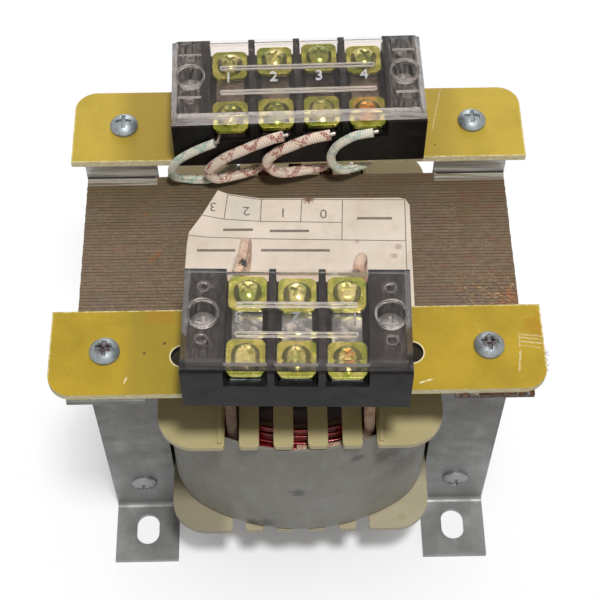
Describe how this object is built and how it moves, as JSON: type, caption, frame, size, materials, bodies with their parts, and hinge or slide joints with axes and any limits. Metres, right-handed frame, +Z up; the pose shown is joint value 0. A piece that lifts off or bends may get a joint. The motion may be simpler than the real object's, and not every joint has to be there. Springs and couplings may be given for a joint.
{
  "type": "transformer",
  "caption": "Open-frame control transformer: laminated core on bent feet, bulging wrapped coil, and barrier terminal blocks with clear covers on boards above it.",
  "frame": {"origin": "on the floor under the middle of the four feet", "axes": "+X to the right along the terminal rows, +Y to the rear across the stack of sheets, +Z up"},
  "size_m": [0.1239, 0.1045, 0.1316],
  "materials": {
    "core_steel": "rolled sheet edges, varnished, with rust stains",
    "bobbin_nylon": "moulded, cream",
    "coil_copper": "enamelled wire, wound",
    "coil_enamel": "red enamelled wire, wound",
    "insulation_paper": "varnished paper",
    "wrap_paper": "satin pressed paper, smudged",
    "zinc_sheet": "zinc plated, stained",
    "zinc_fastener": "zinc plated",
    "board_epoxy": "glass epoxy board, scratched",
    "block_black": "moulded, dusty",
    "cover_clear": "clear moulding",
    "strip_plated": "plated",
    "clamp_chromate": "yellow chromate",
    "sleeve_weave": "woven glass sleeve with coloured flecks",
    "wire_bare": "bare wire",
    "label_paper": "matt, torn at one corner"
  },
  "bodies": {
    "root": {"core_e_sheets": "core_steel", "core_i_sheets": "core_steel", "coil_bobbin": "bobbin_nylon", "inner_winding": "coil_copper", "layer_insulation": "insulation_paper", "outer_winding": "coil_enamel", "outer_wrap": "wrap_paper", "front_left_bracket": "zinc_sheet", "front_right_bracket": "zinc_sheet", "rear_left_bracket": "zinc_sheet", "rear_right_bracket": "zinc_sheet", "clamp_bolts": "zinc_fastener", "clamp_nuts": "zinc_fastener", "front_board": "board_epoxy", "rear_board": "board_epoxy", "board_screws": "zinc_fastener", "board_nuts": "zinc_fastener", "front_block_body": "block_black", "front_block_cover": "cover_clear", "front_block_strips": "strip_plated", "front_block_clamps": "clamp_chromate", "front_block_screws": "clamp_chromate", "front_block_fixings": "zinc_fastener", "front_block_nuts": "zinc_fastener", "rear_block_body": "block_black", "rear_block_cover": "cover_clear", "rear_block_strips": "strip_plated", "rear_block_clamps": "clamp_chromate", "rear_block_screws": "clamp_chromate", "rear_block_fixings": "zinc_fastener", "rear_block_nuts": "zinc_fastener", "rear_lead_1": "sleeve_weave", "rear_lead_2": "sleeve_weave", "rear_lead_3": "sleeve_weave", "rear_lead_4": "sleeve_weave", "front_lead_left": "sleeve_weave", "front_lead_right": "sleeve_weave", "rear_wires": "wire_bare", "front_wires": "wire_bare", "paper_label": "label_paper"}
  },
  "joints": []
}
